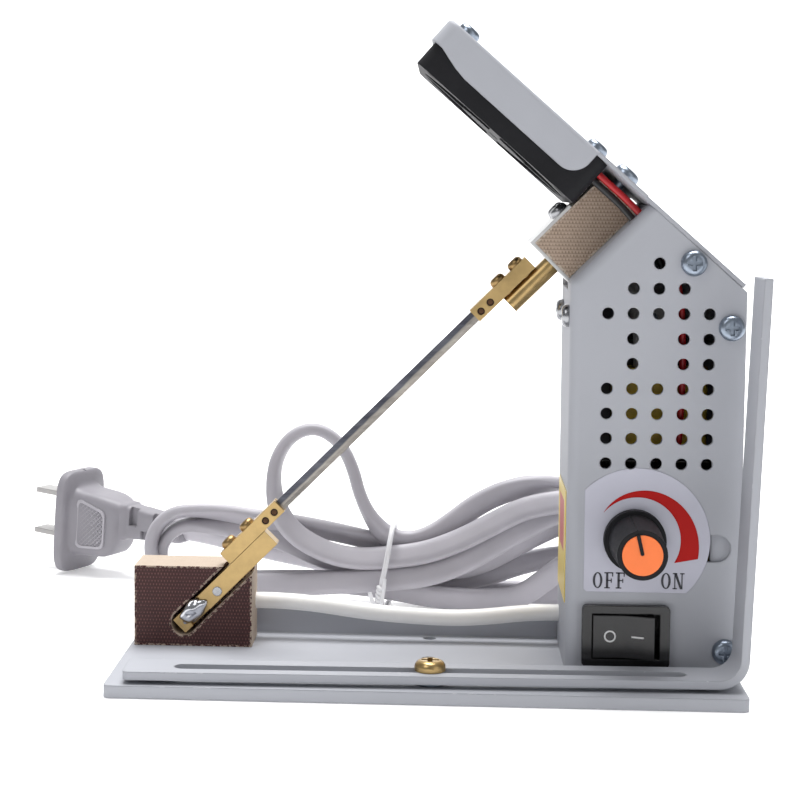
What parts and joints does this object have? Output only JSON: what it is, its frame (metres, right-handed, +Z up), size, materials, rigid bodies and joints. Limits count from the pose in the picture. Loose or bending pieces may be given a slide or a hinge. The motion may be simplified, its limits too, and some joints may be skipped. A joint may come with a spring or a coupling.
{
  "type": "hot blade ribbon cutter",
  "caption": "Bench ribbon cutter: a heated blade slopes from an insulating block to a vented housing with dial, rocker switch, cooling fan, sliding stop and hanked mains cord.",
  "frame": {"origin": "centre of the underside of the cutter's bounding box, on the table, without its cord", "axes": "+Z up, +X from the insulating block towards the housing, +Y from the front to the back"},
  "size_m": [0.2028, 0.1616, 0.1593],
  "materials": {
    "grey_paint": "satin powder coat",
    "zinc": "zinc plated",
    "bright_screw": "polished nickel",
    "solder": "bright solder",
    "brass": "machined brass",
    "dark_brass": "heat darkened brass",
    "blade_steel": "heat darkened steel",
    "maroon_laminate": "sawn cloth laminate",
    "tan_laminate": "sawn cloth laminate",
    "bracket_sheet": "plain sheet",
    "label_film": "printed film",
    "side_film": "blank film",
    "black_gloss": "moulded",
    "black_matte": "moulded",
    "orange_cap": "moulded",
    "pot_metal": "pressed",
    "board": "paper laminate",
    "capacitor": "dipped",
    "core_steel": "stacked sheets",
    "winding_tape": "adhesive tape",
    "white_sleeve": "silicone sleeve",
    "red_wire": "insulated wire",
    "black_wire": "insulated wire",
    "cord_grey": "moulded",
    "prong_metal": "nickel plated",
    "tie_white": "coated wire"
  },
  "bodies": {
    "root": {"bar_pin": "bright_screw", "base_plate": "grey_paint", "blade": "blade_steel", "board_posts": "brass", "board_screws": "zinc", "bracket_screws": "bright_screw", "cord_gland": "cord_grey", "cord_hank": "cord_grey", "cord_tail": "cord_grey", "dial_label": "label_film", "dimmer_board": "board", "dimmer_capacitor": "capacitor", "fan_cover": "grey_paint", "fan_frame": "black_matte", "fan_screws": "zinc", "fan_wire_black": "black_wire", "fan_wire_red": "red_wire", "front_screws": "zinc", "heater_lead": "white_sleeve", "housing_back": "grey_paint", "housing_floor_screws": "zinc", "housing_front": "grey_paint", "lower_blade_clamp": "brass", "lower_block": "maroon_laminate", "lower_block_screws": "zinc", "lower_clamp_screws": "dark_brass", "lower_electrode_bar": "brass", "mains_lead": "cord_grey", "plug_body": "cord_grey", "plug_prongs": "prong_metal", "pot_body": "pot_metal", "pot_nut": "zinc", "roof_screw": "zinc", "roof_washer": "zinc", "side_label": "side_film", "side_screws": "bright_screw", "solder_joint": "solder", "switch_housing": "black_gloss", "switch_terminals": "dark_brass", "transformer_core": "core_steel", "transformer_frame": "bracket_sheet", "transformer_screws": "zinc", "transformer_winding": "winding_tape", "triac": "black_matte", "twist_tie": "tie_white", "upper_blade_clamp": "brass", "upper_block": "tan_laminate", "upper_block_bracket": "bracket_sheet", "upper_clamp_screws": "dark_brass", "upper_lead": "white_sleeve", "upper_rod": "brass"},
    "stop_swivel": {"stop_washer": "zinc", "stop_screw": "brass"},
    "stop_plate": {"stop_plate": "grey_paint"},
    "rocker": {"switch_rocker": "black_gloss"},
    "dial": {"pot_shaft": "pot_metal", "knob": "black_matte", "knob_cap": "orange_cap"},
    "fan_rotor": {"fan_rotor": "black_matte"}
  },
  "joints": [
    {"name": "stop_turn", "type": "hinge", "parent": "root", "child": "stop_swivel", "pos_m": [-0.00041, -0.0266, 0.005], "axis": [0, 0, 1], "range_deg": [-15, 1.4]},
    {"name": "stop_slide", "type": "slide", "parent": "stop_swivel", "child": "stop_plate", "axis": [0.9997, 0.0227, 0], "range_m": [-0.014, 0.057]},
    {"name": "rocker_tip", "type": "hinge", "parent": "root", "child": "rocker", "pos_m": [0.04639, -0.0116, 0.0124], "axis": [0, 0, 1], "range_deg": [0, 14]},
    {"name": "dial_turn", "type": "hinge", "parent": "root", "child": "dial", "pos_m": [0.04809, -0.0206, 0.0358], "axis": [0, 1, 0], "range_deg": [-135, 135]},
    {"name": "fan_spin", "type": "hinge", "parent": "root", "child": "fan_rotor", "pos_m": [0.01822, 0.0093, 0.13797], "axis": [0.6626, 0, 0.749], "continuous": true}
  ]
}
